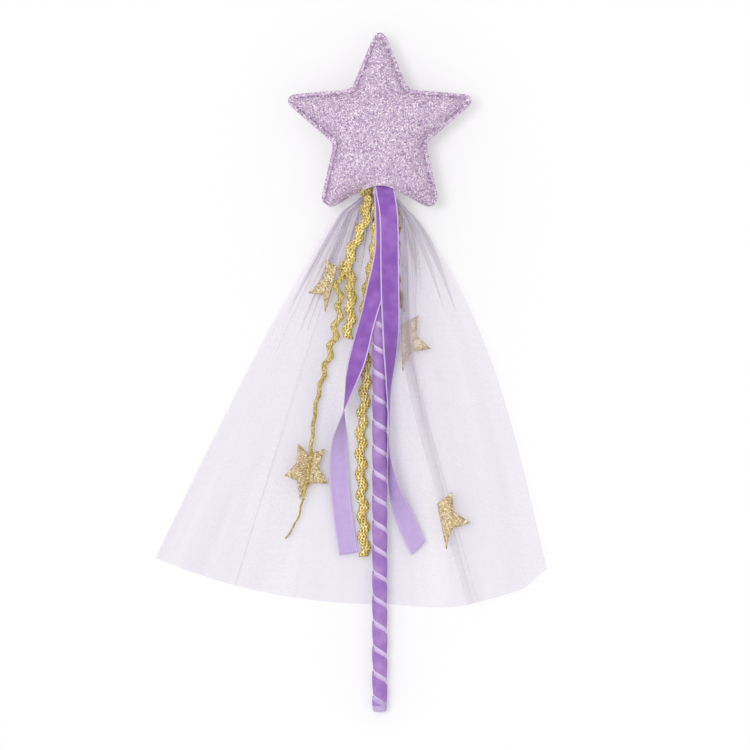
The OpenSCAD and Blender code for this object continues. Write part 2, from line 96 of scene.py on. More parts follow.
RICRAC_LEFT_ROUTE = in_metres([
    (8.3, 94, 15.6, 35), (8.7, 85, 13.8, 20), (6.2, 76.5, 12.3, 10), (3.2, 70, 11.1, 0), (0.4, 63.5, 10.3, 0),
    (-1.1, 57, 9.7, 0), (-0.4, 50.5, 8.8, 0), (0.4, 44, 7.7, 0), (0, 37.5, 7, 0), (0, 31, 6.5, 0),
    (-0.8, 24.5, 6.2, 0), (-1.8, 18, 6, 0),
])
RICRAC_RIGHT_ROUTE = in_metres([
    (20.9, 95, 13, -85), (24.1, 89, 12, -50), (25.5, 82, 10, -15), (25.3, 73, 8.7, 0), (24.7, 63, 8, 0),
    (24.9, 53, 7.5, 0), (26.3, 42, 6.9, 0), (28.3, 32, 6.5, 0),
])


# Tools for cloth and braid

def smooth(low, high, value):
    t = min(max((value - low) / (high - low), 0), 1)
    return t * t * (3 - 2 * t)


def lerp(a, b, t):
    return a + (b - a) * t


def route_point(route, s):
    """A point of the smooth curve through a route's points: place and bank."""
    i = min(int(s), len(route) - 2)
    t = s - i
    a, b, c, d = (route[min(max(i + k, 0), len(route) - 1)] for k in (-1, 0, 1, 2))
    return [
        (2 * q + (r - p) * t + (2 * p - 5 * q + 4 * r - w) * t * t + (3 * q - p - 3 * r + w) * t ** 3) / 2
        for p, q, r, w in zip(a, b, c, d)
    ]


def route_frame(route, s):
    """Place, width direction and face direction of a banked strip on its route."""
    last = len(route) - 1
    here = route_point(route, s)
    before, after = route_point(route, max(s - 0.05, 0)), route_point(route, min(s + 0.05, last))
    way = (Vector(after[:3]) - Vector(before[:3])).normalized()
    side = Vector((0, 0, 1)).cross(way).normalized()
    up = way.cross(side)
    bank = math.radians(here[3])
    return Vector(here[:3]), side * math.cos(bank) + up * math.sin(bank), up * math.cos(bank) - side * math.sin(bank)


def route_line(route, steps):
    """Points along a route and the length to each of them."""
    points = [Vector(route_point(route, (len(route) - 1) * k / steps)[:3]) for k in range(steps + 1)]
    lengths = [0.0]
    for a, b in zip(points, points[1:]):
        lengths.append(lengths[-1] + (b - a).length)
    return points, lengths


def cloth_grid(columns, rows, place, along=None, across=None):
    """A sheet from a grid: place(i, j) puts each of its points, and its UV map runs across and along it."""
    bm = bmesh.new()
    bmesh.ops.create_grid(bm, x_segments=columns, y_segments=rows, size=1)
    sheet_map = bm.loops.layers.uv.new("Cloth")
    spots = {v: (round((v.co.x + 1) / 2 * columns), round((v.co.y + 1) / 2 * rows)) for v in bm.verts}
    for face in bm.faces:
        for loop in face.loops:
            i, j = spots[loop.vert]
            loop[sheet_map].uv = (across(i) if across else i / columns, along(j) if along else j / rows)
    for v, (i, j) in spots.items():
        v.co = place(i, j)
    return bm


def mesh_from(name, bm):
    mesh = bpy.data.meshes.new(name)
    bm.to_mesh(mesh)
    bm.free()
    return mesh


def add_object(name, data):
    made = bpy.data.objects.new(name, data)
    scene.collection.objects.link(made)
    return made


def add_piece(name, bm, materials, body, slot, *replaced):
    """A finished piece: it rides on a body, or stays in place as built where body is (first, second, start, end).
    The slot is not used. It may stand for CAD nodes."""
    mesh = mesh_from(name, bm)
    for material in materials:
        mesh.materials.append(material)
    for polygon in mesh.polygons:
        polygon.use_smooth = True
    piece = add_object(name, mesh)
    if isinstance(body, tuple):
        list(body)
        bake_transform(piece)
    else:
        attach(piece, body)
    if replaced:
        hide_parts(*replaced)
    return piece


def thicken(piece, thickness, offset=0, back=0, rim=0):
    """Gives a sheet its thickness; back and rim are the steps to the materials of its other face and its edge."""
    wall = piece.modifiers.new("Thickness", "SOLIDIFY")
    wall.thickness = thickness
    wall.offset = offset
    wall.material_offset = back
    wall.material_offset_rim = rim


def round_off(piece):
    """Rounds a piece with one step of subdivision."""
    finer = piece.modifiers.new("Finer", "SUBSURF")
    finer.levels = finer.render_levels = 1


def close_up(bm, caps=False):
    """Joins the points of a grid that meet, may cap its open ends, and turns its faces outwards."""
    bmesh.ops.remove_doubles(bm, verts=bm.verts, dist=SAME_POINT)
    if caps:
        bmesh.ops.holes_fill(bm, edges=bm.edges)
    bmesh.ops.recalc_face_normals(bm, faces=bm.faces)


# Finishes

class Nodes:
    """Short ways to make and join the nodes of a shader tree."""

    def __init__(self, tree):
        self.tree = tree

    def give(self, socket, value):
        """Sets a socket, or joins it where the value is the output of another node."""
        if hasattr(value, "is_linked"):
            self.tree.links.new(value, socket)
        elif socket.type == "RGBA":
            socket.default_value = (*value, 1)
        else:
            socket.default_value = value

    def fill(self, node, inputs):
        for name, value in inputs.items():
            self.give(node.inputs[name], value)

    def add(self, kind, inputs=None, **settings):
        node = self.tree.nodes.new("ShaderNode" + kind)
        for name, value in settings.items():
            setattr(node, name, value)
        self.fill(node, inputs or {})
        return node

    def out(self, kind, inputs=None, output=0, **settings):
        """The named or numbered output of a new node."""
        return self.add(kind, inputs, **settings).outputs[output]

    def maths(self, operation, *values):
        return self.out("Math", dict(enumerate(values)), operation=operation)

    def vector(self, operation, *values):
        return self.out("VectorMath", dict(enumerate(values)), operation=operation)

    def mix(self, share, first, second, blend="MIX"):
        return self.out("Mix", {0: share, 6: first, 7: second}, 2, data_type="RGBA", blend_type=blend)

    def ease(self, value, start, end, first, last):
        """Goes smoothly from the first value to the last one."""
        ends = {"Value": value, "From Min": start, "From Max": end, "To Min": first, "To Max": last}
        return self.out("MapRange", ends, interpolation_type="SMOOTHSTEP")

    def bump(self, height, distance, strength):
        return self.out("Bump", {"Height": height, "Distance": distance, "Strength": strength})

    def place(self):
        return self.out("TexCoord", output="Object")

    def cloth(self):
        """Shares across and along a cloth, from its own map."""
        return self.add("SeparateXYZ", {0: self.out("TexCoord", output="UV")}).outputs


GREY = (0.5, 0.5, 0.5, 1)
PALE_LILAC = (0.74, 0.56, 0.93)
# Ripple of a velvet ribbon's right edge, as a share of its width, and ribs of its woven edges
FRAY, EDGE_RIBS = 0.03, 12000
# Plaits across a gold braid, and its colours from the painted shade in the gaps to the painted highlight on the crowns
PLAITS = 3
GOLD_MIDDLE, GOLD_SHADE_TO_HIGHLIGHT = 0.45, ((0.20, 0.12, 0.03), (0.60, 0.42, 0.08), (0.98, 0.86, 0.43))
# Net of the tulle: meshes to a metre, distance from a mesh's edge where its thread ends, and streaks in its density
NET_MESHES, NET_RANDOM, THREAD_EDGE = (1900, 1650, 0), 0.8, (0.06, 0.16)
NET_STREAKS, HAZE = (22, 1.6, 1), 0.18
# Colour of the tulle's thread, and the paler colour painted where it is gathered: painted light over the shade between
# its layers
TULLE_LAVENDER, TULLE_PAINTED_LIGHT = (0.74, 0.67, 0.84), (0.95, 0.85, 1)
# Shares of a panel where its gathers and its band thin out
GATHERS_END, BAND_END = (0.08, 0.5), (0.2, 0.55)


def new_group(name, inputs, outputs):
    """A shader group with named sockets: its nodes, what it is given and what it makes."""
    tree = bpy.data.node_groups.new(name, "ShaderNodeTree")
    for socket, value in inputs:
        kind = "NodeSocketColor" if value == GREY else "NodeSocketFloat"
        tree.interface.new_socket(name=socket, in_out="INPUT", socket_type=kind).default_value = value
    for socket, kind in outputs:
        tree.interface.new_socket(name=socket, in_out="OUTPUT", socket_type="NodeSocket" + kind)
    return Nodes(tree), tree.nodes.new("NodeGroupInput").outputs, tree.nodes.new("NodeGroupOutput").inputs


def glitter_group():
    """Flakes of glitter: each has its own shade, gloss and tilt, and a share of them are painted glints in a pale
    colour.
    """
    nodes, given, made = new_group(
        "Glitter flakes",
        [("Flakes per metre", 1000), ("Ground", GREY), ("Shade", GREY), ("Painted glint", GREY), ("Shade share", 0.25),
         ("Painted glint share", 0.15), ("Tilt", 0.5)],
        [("Color", "Color"), ("Roughness", "Float"), ("Normal", "Vector")],
    )
    place = nodes.place()
    flakes = nodes.out("TexVoronoi", {"Vector": place, "Scale": given["Flakes per metre"]}, "Color")
    draw = nodes.add("SeparateColor", {0: flakes}).outputs
    patches = nodes.out("TexNoise", {"Vector": place, "Scale": 90})
    dark = nodes.maths("LESS_THAN", draw[0], given["Shade share"])
    # Flakes below this share take the pale colour: painted glints
    light = nodes.maths("LESS_THAN", draw[1], given["Painted glint share"])
    some_dark = nodes.maths("MULTIPLY", dark, nodes.maths("ADD", 0.45, draw[2]))
    toned = nodes.mix(nodes.maths("MULTIPLY", some_dark, 0.8), given["Ground"], given["Shade"])
    patched = nodes.mix(nodes.maths("MULTIPLY", patches, 0.3), toned, given["Ground"])
    lean = nodes.vector("SUBTRACT", flakes, (0.5, 0.5, 0.5))
    tilt = nodes.out("VectorMath", {0: lean, "Scale": given["Tilt"]}, operation="SCALE")
    tilted = nodes.vector("ADD", nodes.out("NewGeometry", output="Normal"), tilt)
    nodes.give(made["Color"], nodes.mix(light, patched, given["Painted glint"]))
    nodes.give(made["Roughness"], nodes.maths("MULTIPLY_ADD", draw[2], 0.4, 0.25))
    nodes.give(made["Normal"], nodes.vector("NORMALIZE", tilted))
    return nodes.tree


def pile_group():
    """Velvet pile: brushed patches and fine tufts between two pale woven edges."""
    nodes, given, made = new_group(
        "Velvet pile",
        [("Pile", GREY), ("Brushed", GREY), ("Edge", GREY), ("Left edge", 0.08), ("Right edge", 0.08)],
        [("Color", "Color"), ("Height", "Float")],
    )
    place, strip = nodes.place(), nodes.cloth()
    brushed = nodes.out("TexNoise", {"Vector": place, "Scale": 130, "Detail": 4})
    tufts = nodes.add("TexNoise", {"Vector": place, "Scale": 3200}).outputs
    patch = nodes.out("MapRange", {"Value": brushed, "From Min": 0.4, "From Max": 0.68})
    pile = nodes.mix(patch, given["Pile"], given["Brushed"])
    speckled = nodes.mix(0.25, pile, tufts["Color"], "OVERLAY")
    frayed = nodes.maths("MULTIPLY_ADD", tufts[0], FRAY, strip[0])
    left = nodes.maths("LESS_THAN", strip[0], given["Left edge"])
    right = nodes.maths("GREATER_THAN", frayed, nodes.maths("SUBTRACT", 1 + FRAY / 2, given["Right edge"]))
    edge = nodes.maths("MAXIMUM", left, right)
    ribs = nodes.maths("SINE", nodes.maths("MULTIPLY", strip[1], EDGE_RIBS))
    nodes.give(made["Color"], nodes.mix(edge, speckled, given["Edge"]))
    nodes.give(made["Height"], nodes.mix(edge, tufts[0], nodes.maths("MULTIPLY", ribs, 0.5)))
    return nodes.tree


GLITTER = glitter_group()
PILE = pile_group()


def new_material(name):
    """A material, its nodes and its shader."""
    material = bpy.data.materials.new(name)
    material.use_nodes = True
    return material, Nodes(material.node_tree), material.node_tree.nodes["Principled BSDF"]


def glitter_material(name, flakes, ground, shade, painted_glint, shade_share, painted_glint_share, tilt, metal):
    material, nodes, shader = new_material(name)
    made = nodes.add("Group", {
        "Flakes per metre": flakes, "Ground": ground, "Shade": shade, "Painted glint": painted_glint, "Shade share": shade_share,
        "Painted glint share": painted_glint_share, "Tilt": tilt,
    }, node_tree=GLITTER).outputs
    nodes.fill(shader, {
        "Base Color": made["Color"], "Roughness": made["Roughness"], "Normal": made["Normal"], "Metallic": metal,
    })
    return material


def velvet_material(name, pile, brushed, edge, left_edge, right_edge):
    material, nodes, shader = new_material(name)
    made = nodes.add("Group", {
        "Pile": pile, "Brushed": brushed, "Edge": edge, "Left edge": left_edge, "Right edge": right_edge,
    }, node_tree=PILE).outputs
    nodes.fill(shader, {
        "Base Color": made["Color"], "Normal": nodes.bump(made["Height"], 0.0002, 0.6), "Roughness": 0.85,
        "Specular IOR Level": 0.2, "Sheen Weight": 0.45, "Sheen Roughness": 0.35, "Sheen Tint": (0.85, 0.72, 1),
    })
    return material


def woven_material(name, thread, shadow, threads_across, threads_along, selvage=0):
    """Plain weave on the cloth's own map, with faint slubs and a pale selvage."""
    material, nodes, shader = new_material(name)
    strip = nodes.cloth()
    warp = nodes.maths("SINE", nodes.maths("MULTIPLY", strip[0], threads_across * math.tau))
    weft = nodes.maths("SINE", nodes.maths("MULTIPLY", strip[1], threads_along * math.tau))
    weave = nodes.maths("MULTIPLY", warp, weft)
    slubs = nodes.out("TexNoise", {"Vector": nodes.place(), "Scale": 400})
    share = nodes.maths("MULTIPLY_ADD", weave, 0.2, slubs)
    from_middle = nodes.maths("ABSOLUTE", nodes.maths("SUBTRACT", strip[0], 0.5))
    edge = nodes.maths("GREATER_THAN", from_middle, 0.5 - selvage)
    nodes.fill(shader, {
        "Base Color": nodes.mix(edge, nodes.mix(share, shadow, thread), PALE_LILAC),
        "Normal": nodes.bump(weave, 0.00015, 0.5), "Roughness": 0.6, "Sheen Weight": 0.2,
    })
    return material


def braid_material(name, waves):
    """Metallic thread plaited slantwise, with a painted highlight on the crowns and painted shade between them."""
    material, nodes, shader = new_material(name)
    strip = nodes.cloth()
    along = nodes.maths("MULTIPLY", strip[1], waves * math.tau)
    across = nodes.maths("MULTIPLY", strip[0], PLAITS * math.tau)
    one_way = nodes.maths("SINE", nodes.maths("ADD", along, across))
    other_way = nodes.maths("SINE", nodes.maths("SUBTRACT", along, across))
    crown_and_highlight = nodes.maths("MULTIPLY_ADD", nodes.maths("MAXIMUM", one_way, other_way), 0.3, 0.45)
    flecks = nodes.out("TexVoronoi", {"Vector": nodes.place(), "Scale": 1500}, "Color")
    fleck = nodes.out("SeparateColor", {0: flecks})
    # Random flecks lift or lower the share, so some of them are painted glints
    share = nodes.maths("ADD", crown_and_highlight, nodes.maths("MULTIPLY_ADD", fleck, 0.7, -0.35))
    # The ramp paints shade in the gaps and a highlight on the crowns, with the gold between them
    ramp = nodes.add("ValToRGB", {0: share})
    ramp.color_ramp.elements.new(GOLD_MIDDLE)
    for stop, colour in zip(ramp.color_ramp.elements, GOLD_SHADE_TO_HIGHLIGHT):
        stop.color = (*colour, 1)
    nodes.fill(shader, {
        "Base Color": ramp.outputs[0], "Normal": nodes.bump(share, 0.0004, 0.8), "Metallic": 0.55, "Roughness": 0.38,
    })
    return material


def tulle_material(name, cover, gathered, band=0):
    """A net of small meshes: thread where the net is, nothing between. Many layers close it up where it is
    gathered at the neck, and in a band along its first edge. There its thread is painted paler: painted light that
    lifts the shade between the stacked layers."""
    material, nodes, shader = new_material(name)
    meshes = nodes.out("Mapping", {"Vector": nodes.place(), "Scale": NET_MESHES})
    from_thread = nodes.out("TexVoronoi", {"Vector": meshes, "Scale": 1, "Randomness": NET_RANDOM}, "Distance",
                            feature="DISTANCE_TO_EDGE", voronoi_dimensions="2D")
    net = nodes.ease(from_thread, *THREAD_EDGE, 1, 0)
    sheet = nodes.cloth()
    streaks = nodes.out("Mapping", {"Vector": nodes.out("TexCoord", output="UV"), "Scale": NET_STREAKS})
    cloud = nodes.out("TexNoise", {"Vector": streaks, "Scale": 1})
    thick = nodes.maths("MULTIPLY_ADD", cloud, 1.1, 0.45)
    at_neck = nodes.ease(sheet[1], *GATHERS_END, gathered, 0)
    at_edge = nodes.ease(sheet[0], *BAND_END, band, 0)
    to_right = nodes.maths("MULTIPLY_ADD", sheet[0], -0.9, 1)
    to_hem = nodes.maths("MULTIPLY_ADD", sheet[1], -0.95, 1)
    dense = nodes.maths("MULTIPLY_ADD", at_neck, to_right, nodes.maths("MULTIPLY", at_edge, to_hem))
    closed = nodes.maths("MULTIPLY_ADD", net, cover, dense)
    toned = nodes.mix(cloud, TULLE_LAVENDER, tuple(c * 0.93 for c in TULLE_LAVENDER))
    # Painted light: where the net is dense, its thread turns to the paler colour
    full = nodes.maths("MULTIPLY", dense, 3 / max(gathered, band))
    nodes.fill(shader, {
        "Base Color": nodes.mix(full, toned, TULLE_PAINTED_LIGHT), "Roughness": 0.7, "Sheen Weight": 0.6,
        "Sheen Tint": (0.92, 0.84, 1),
        "Alpha": nodes.maths("MULTIPLY", nodes.maths("ADD", closed, cover * HAZE), thick),
    })
    return material


def fibre_material(name, pale, deep, scale, bump):
    """Plain fibres or wood grain on object coordinates."""
    material, nodes, shader = new_material(name)
    stretched = nodes.out("Mapping", {"Vector": nodes.place(), "Scale": scale})
    grain = nodes.out("TexNoise", {"Vector": stretched, "Scale": 1, "Detail": 6})
    nodes.fill(shader, {
        "Base Color": nodes.mix(grain, pale, deep), "Normal": nodes.bump(grain, bump, 0.5), "Roughness": 0.8,
    })
    return material


ribbon_velvet = velvet_material("Ribbon velvet", (0.275, 0.112, 0.47), (0.37, 0.175, 0.57), PALE_LILAC, 0.07, 0.07)
wrap_velvet = velvet_material("Wrap velvet", (0.36, 0.19, 0.54), (0.48, 0.28, 0.62), (0.80, 0.64, 0.95),
                              0.02, 0.25)
ribbon_back = woven_material("Ribbon reverse", (0.70, 0.53, 0.90), (0.58, 0.42, 0.79), 24, 2400, 0.06)
fold_cloth = woven_material("Folded ribbon end", (0.72, 0.58, 0.88), (0.46, 0.32, 0.68), 40, 40)
# Glitter: flakes per metre, ground, darker flakes, the pale colour of painted glints, the shares of both, tilt and
# metal
star_glitter = glitter_material("Lavender glitter cloth", 1700, (0.68, 0.505, 0.69), (0.28, 0.16, 0.34),
                                (0.98, 0.90, 0.97), 0.36, 0.18, 0.8, 0.08)
charm_glitter = glitter_material("Gold glitter", 1900, (0.68, 0.50, 0.25), (0.27, 0.15, 0.06),
                                 (0.98, 0.92, 0.68), 0.28, 0.24, 1.0, 0.25)
charm_reverse = glitter_material("Copper felt", 2500, (0.62, 0.33, 0.20), (0.30, 0.12, 0.06),
                                 (0.85, 0.60, 0.42), 0.30, 0.10, 0.4, 0)
ricrac_gold = braid_material("Gold ric-rac", 330)
cord_gold = braid_material("Gold cord", 500)
tulle_net = tulle_material("Lavender tulle", 0.42, 0.34)
left_net = tulle_material("Left lavender tulle", 0.11, 0.15)
right_net = tulle_material("Right lavender tulle", 0.14, 0.08, 0.2)
seam_thread = woven_material("Seam thread", (0.50, 0.36, 0.58), (0.25, 0.15, 0.32), 6, 6)
stick_wood = fibre_material("Pale wood", (0.72, 0.52, 0.32), (0.52, 0.34, 0.18), (700, 30, 700), 0.0002)
filling_fibre = fibre_material("Polyester filling", (0.93, 0.93, 0.93), (0.8, 0.8, 0.82), (600, 600, 600), 0.001)


# Camera, floor and light

CAMERA_AT, CAMERA_LENS = (0.01299, -0.00136, 7.2), 652.2
FLOOR_HALF, FLOOR_Z, FLOOR_WHITE = 4, -0.0003, (0.985, 0.985, 0.985)
# Share of the floor that the camera sees as a lit white ground, so its shadows stay faint
FLOOR_LIT = 0.28
SKY_STRENGTH, LAMP_STRENGTH, LAMP_SPREAD, LAMP_TURN = 0.76, 0.85, 25, (-5, -19, 0)


def floor_paper():
    paper, nodes, shader = new_material("White paper")
    nodes.fill(shader, {"Base Color": FLOOR_WHITE, "Roughness": 1, "Specular IOR Level": 0})
    ray = nodes.add("LightPath").outputs
    seen = nodes.maths("MAXIMUM", ray["Is Camera Ray"], ray["Is Glossy Ray"])
    seen = nodes.maths("MAXIMUM", seen, ray["Is Transmission Ray"])
    share = nodes.maths("MULTIPLY", seen, FLOOR_LIT)
    both = nodes.out("MixShader", {0: share, 1: shader.outputs[0], 2: nodes.out("Emission")})
    nodes.give(paper.node_tree.nodes["Material Output"].inputs["Surface"], both)
    return paper


def set_stage():
    camera = bpy.data.cameras.new("Camera")
    camera.lens = CAMERA_LENS
    scene.camera = add_object("Camera", camera)
    scene.camera.location = CAMERA_AT
    floor = bmesh.new()
    bmesh.ops.create_grid(floor, x_segments=1, y_segments=1, size=FLOOR_HALF)
    bmesh.ops.translate(floor, verts=floor.verts, vec=(0, 0, FLOOR_Z))
    mesh = mesh_from("Floor", floor)
    mesh.materials.append(floor_paper())
    add_object("Floor", mesh)
    world = bpy.data.worlds.new("Studio")
    world.use_nodes = True
    sky = world.node_tree.nodes["Background"].inputs
    sky["Color"].default_value = (1, 1, 1, 1)
    sky["Strength"].default_value = SKY_STRENGTH
    scene.world = world
    lamp = bpy.data.lights.new("Softbox", "SUN")
    lamp.energy, lamp.angle = LAMP_STRENGTH, math.radians(LAMP_SPREAD)
    add_object("Softbox", lamp).rotation_euler = [math.radians(turn) for turn in LAMP_TURN]
    scene.view_settings.view_transform = "Standard"


set_stage()


# Streamers

# Columns across a ribbon: place in half widths, and lift of the pile over its woven edges
RIBBON_COLUMNS = [
    (-1, 0), (-0.92, 0.00002), (-0.86, 0.0001), (-0.8, 0.0002), (-0.5, 0.00026), (-0.2, 0.00027),
    (0.2, 0.00027), (0.5, 0.00026), (0.8, 0.0002), (0.86, 0.0001), (0.92, 0.00002), (1, 0),
]
BRAID_COLUMNS = [
    (-1, -0.0001), (-0.8, 0.00016), (-0.4, 0.0003), (0, 0.00034), (0.4, 0.0003), (0.8, 0.00016), (1, -0.0001),
]
RIBBON_T, BRAID_T = 0.0004, 0.0006
# Waves of the ric-rac and of the right braid: added width, reach to each side and length
RICRAC_EXTRA, RICRAC_WAVE, RICRAC_PITCH = 0.0006, 0.0009, 0.011
RIGHT_WAVE, RIGHT_PITCH = 0.0006, 0.009
# The gold cord is wide and wavy from the neck to its first star, narrow below it and thin at its tail
CORD_WIDTHS, CORD_WAVES, CORD_TAIL = (0.0062, 0.0027), (0.0013, 0.0003), 0.0011
CORD_NARROWS, CORD_THINS, CORD_PITCH = (0.075, 0.12), (0.145, 0.18), 0.0108
# Share of a ribbon's rows before its slanted cut
CUT_FROM = 0.85


def strip_sheet(route, columns, rows, half_at, shift_at, cut=0):
    """A strip along a route. half_at and shift_at give its half width and its sideways wave at a length;
    cut shortens one edge, so its free end is slanted."""
    points, lengths = route_line(route, rows)
    last = len(route) - 1

    def spot(i, j):
        across, lift = columns[i]
        slant = cut * (1 - across) / 2 * smooth(CUT_FROM, 1, j / rows)
        at, width, face = route_frame(route, last * j / rows - slant)
        return at + width * (shift_at(lengths[j]) + across * half_at(lengths[j])) + face * lift

    bm = cloth_grid(len(columns) - 1, rows, spot, lambda j: lengths[j], lambda i: (columns[i][0] + 1) / 2)
    bmesh.ops.reverse_faces(bm, faces=bm.faces)
    return bm, points, lengths[-1]


def lay_ribbon(name, route, body, rows, cut, *replaced):
    bm, points, length = strip_sheet(route, RIBBON_COLUMNS, rows, lambda d: RIBBON_W / 2, lambda d: 0, cut)
    piece = add_piece(name, bm, [ribbon_velvet, ribbon_back], body, "velvet", *replaced)
    thicken(piece, RIBBON_T, offset=-1, back=1)
    return piece, points, length


def lay_braid(name, route, body, rows, width_at, wave_at, pitch, material, *replaced):
    bm, points, length = strip_sheet(route, BRAID_COLUMNS, rows, lambda d: width_at(d) / 2 - wave_at(d),
                                     lambda d: wave_at(d) * math.sin(math.tau * d / pitch))
    piece = add_piece(name, bm, [material], body, "gold_braid", *replaced)
    thicken(piece, BRAID_T, offset=-1)
    return piece, points, length


def declare_streamer(width, piece, points, length):
    """Reads the points of a loose ribbon or braid and keeps nothing from them."""
    tuple(points[0])
    [tuple(p) for p in points]


def cord_width(d):
    return lerp(*CORD_WIDTHS, smooth(*CORD_NARROWS, d)) - CORD_TAIL * smooth(*CORD_THINS, d)


def cord_wave(d):
    return lerp(*CORD_WAVES, smooth(*CORD_NARROWS, d))


def lay_streamers():
    for name, route, body, rows, cut, node in (
        ("ribbon_right", VELVET_RIBBON_RIGHT_ROUTE, "right_ribbon", 140, 0.5, "velvet_ribbon_right"),
        ("ribbon_left", VELVET_RIBBON_LEFT_ROUTE, "left_ribbon", 120, 0, "velvet_ribbon_left"),
    ):
        declare_streamer(RIBBON_W, *lay_ribbon(name, route, body, rows, cut, node))
    for name, route, body, rows, node in (
        ("gold_ricrac_centre", RICRAC_CENTRE_ROUTE, "centre_braid", 220, "ricrac_centre"),
        ("gold_ricrac_left", RICRAC_LEFT_ROUTE, "left_braid", 96, "ricrac_left"),
    ):
        declare_streamer(RICRAC_W, *lay_braid(name, route, body, rows, lambda d: RICRAC_W + RICRAC_EXTRA,
                                              lambda d: RICRAC_WAVE, RICRAC_PITCH, ricrac_gold, node))
    for name, route, body, rows, width_at, wave_at, pitch, node in (
        ("gold_ricrac_right", RICRAC_RIGHT_ROUTE, "right_braid", 70, lambda d: CORD_W, lambda d: RIGHT_WAVE,
         RIGHT_PITCH, "ricrac_right"),
        ("gold_star_cord", GOLD_CORD_ROUTE, "star_cord", 230, cord_width, cord_wave, CORD_PITCH, "gold_cord"),
    ):
        declare_streamer(CORD_W, *lay_braid(name, route, body, rows, width_at, wave_at, pitch, cord_gold, node))


lay_streamers()


# Star

ARM = math.tau / 5
# Outlines of the raw edge and of the seam: reach of the tips, the inner corners and the mouth, and the tips' radius
RAW_STAR = (0.051, 0.0255, 0.0278, 0.0035)
SEAM_STAR = (0.0482, 0.0228, 0.0262, 0.0022)
# The two lower tips, which hang a little, and the corner between them
LOWER_TIPS, LOWER_DROP, MOUTH_CORNER = (2, 3), 0.0008, 2
ARC_STEPS, EDGE_STEPS = 6, 13
ARM_STEPS = ARC_STEPS + 2 * EDGE_STEPS
ROUND = 5 * ARM_STEPS
# The two edges that meet at the mouth are turned in, so the cloth reaches its full outline there
MOUTH_FROM = MOUTH_CORNER * ARM_STEPS + ARC_STEPS // 2
MOUTH_TO = MOUTH_FROM + ARM_STEPS
CORNER_ROUNDS, MOUTH_ROUNDS, MOUTH_MARGIN = 2, 12, 8
STAR_RINGS, CROWN, MOST_SWELL = 15, 0.0126, 0.0015
SIM_FRAMES, CUSHION_FILL = 20, 0.75
CUSHION_CLOTH = {
    "vertex_group_mass": "seam", "quality": 7, "mass": 0.1, "tension_stiffness": 15, "compression_stiffness": 15,
    "shear_stiffness": 8, "bending_stiffness": 0.6, "use_pressure": True, "uniform_pressure_force": 4,
    "shrink_min": -0.02,
}
# Mouth of the star: its depth below the middle, and how far each cloth stands off the seam over the streamers
MOUTH_R, LIP_FRONT, LIP_BACK, MOST_LIP = 0.0295, 0.0102, 0.0052, 0.0127
LIP_X, LIP_HALF, LIP_DEPTH = 0.003, 0.0105, 0.02
LOWEST = 0.0003
RAW_EDGE_T, RAW_RIPPLE, RAW_COLUMNS, RAW_TAPER = 0.0013, 0.0004, 3, 5
STITCH_PITCH, STITCH_OUT, STITCH_Z = 0.0031, 1.012, 0.00072
STITCH_SIZE = (0.00105, 0.00028, 0.00022)
STUFFING_SIZE, STUFFING_RISE = (0.8, 0.8, 0.66), 0.002


def towards(angle):
    return Vector((math.cos(angle), math.sin(angle)))


def star_outline(tip_r, inner_r, mouth_r, tip_round):
    """Points round a star with rounded tips, from the top tip to the left; its bottom corner is the mouth."""
    reach = math.pi / 2 - math.atan2(inner_r * math.sin(ARM / 2), tip_r - inner_r * math.cos(ARM / 2))

    def on_tip(k, share):
        tip = math.pi / 2 + ARM * k
        middle = (tip_r - tip_round) * towards(tip)
        if k in LOWER_TIPS:
            middle -= Vector((0, LOWER_DROP))
        return middle + tip_round * towards(tip + reach * (2 * share - 1))

    points = []
    for k in range(5):
        corner = (mouth_r if k == MOUTH_CORNER else inner_r) * towards(math.pi / 2 + ARM * k + ARM / 2)
        points += [on_tip(k, a / ARC_STEPS) for a in range(ARC_STEPS)]
        points += [on_tip(k, 1).lerp(corner, a / EDGE_STEPS) for a in range(EDGE_STEPS)]
        points += [corner.lerp(on_tip(k + 1, 0), a / EDGE_STEPS) for a in range(EDGE_STEPS)]
    return points


def soft_corners(points):
    """Eases the inner corners of an outline, as cloth does when it is turned, and rounds its mouth."""
    for turn in range(CORNER_ROUNDS + MOUTH_ROUNDS):
        points = [
            (points[k - 1] + 2 * points[k] + points[(k + 1) % ROUND]) / 4
            if turn < CORNER_ROUNDS or MOUTH_FROM + MOUTH_MARGIN < k < MOUTH_TO - MOUTH_MARGIN else points[k]
            for k in range(ROUND)
        ]
    return points


def turned_in(k):
    return smooth(MOUTH_FROM - 1, MOUTH_FROM + 5, k) * (1 - smooth(MOUTH_TO - 5, MOUTH_TO + 1, k))


raw_edge = soft_corners(star_outline(*RAW_STAR))
seam_line = soft_corners(star_outline(*SEAM_STAR))
cushion_edge = [s.lerp(r, turned_in(k)) for k, (s, r) in enumerate(zip(seam_line, raw_edge))]


def from_edge(p):
    """A smooth measure of how far a point of the star is from its outline."""
    total = 0
    for k in range(ROUND):
        a, b = cushion_edge[k - 1], cushion_edge[k]
        total += (b - a).length / max((p - (a + b) / 2).length_squared, 1e-8) ** 2
    return (total * 2 / math.pi) ** (-1 / 3)


def domed_star():
    """The two sewn cloths as one full dome each, joined at the seam."""
    middle = from_edge(Vector((0, 0)))
    heights = {}

    def spot(i, j):
        share = (1 - abs(j / STAR_RINGS - 1)) ** 0.8
        p = cushion_edge[i % ROUND] * share
        key = (i % ROUND, round(share, 6))
        if key not in heights:
            filled = min(from_edge(p) * (1 - share ** 14) / middle, 1)
            heights[key] = CROWN * (1 - (1 - filled) ** 2) ** 0.62
        return Vector((p.x, p.y, heights[key] * (1 if j <= STAR_RINGS else -1)))

    bm = cloth_grid(ROUND, 2 * STAR_RINGS, spot)
    close_up(bm)
    return mesh_from("Stuffed star", bm)


